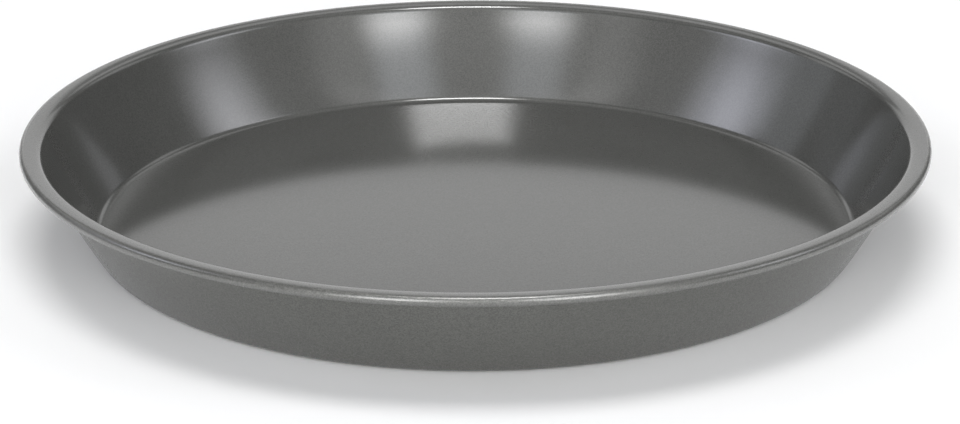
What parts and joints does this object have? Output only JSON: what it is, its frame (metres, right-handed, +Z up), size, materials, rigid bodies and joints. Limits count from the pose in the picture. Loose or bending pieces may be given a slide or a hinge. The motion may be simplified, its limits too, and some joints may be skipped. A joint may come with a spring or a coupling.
{
  "type": "round baking pan",
  "caption": "Shallow round baking pan of coated steel sheet with a flat base, a flared wall and a flange whose edge is rolled around a stiffening wire.",
  "frame": {"origin": "middle of the underside of the base, on the surface that the pan stands on", "axes": "+Z up along the pan's axis of revolution; X and Y lie in the base, and the pan is the same all round"},
  "size_m": [0.294, 0.294, 0.0326],
  "materials": {
    "coated_sheet": "satin dark grey metallic non-stick coating",
    "steel_wire": "plain drawn steel wire"
  },
  "bodies": {
    "root": {"pan_body": "coated_sheet", "rim_wire": "steel_wire"}
  },
  "joints": []
}
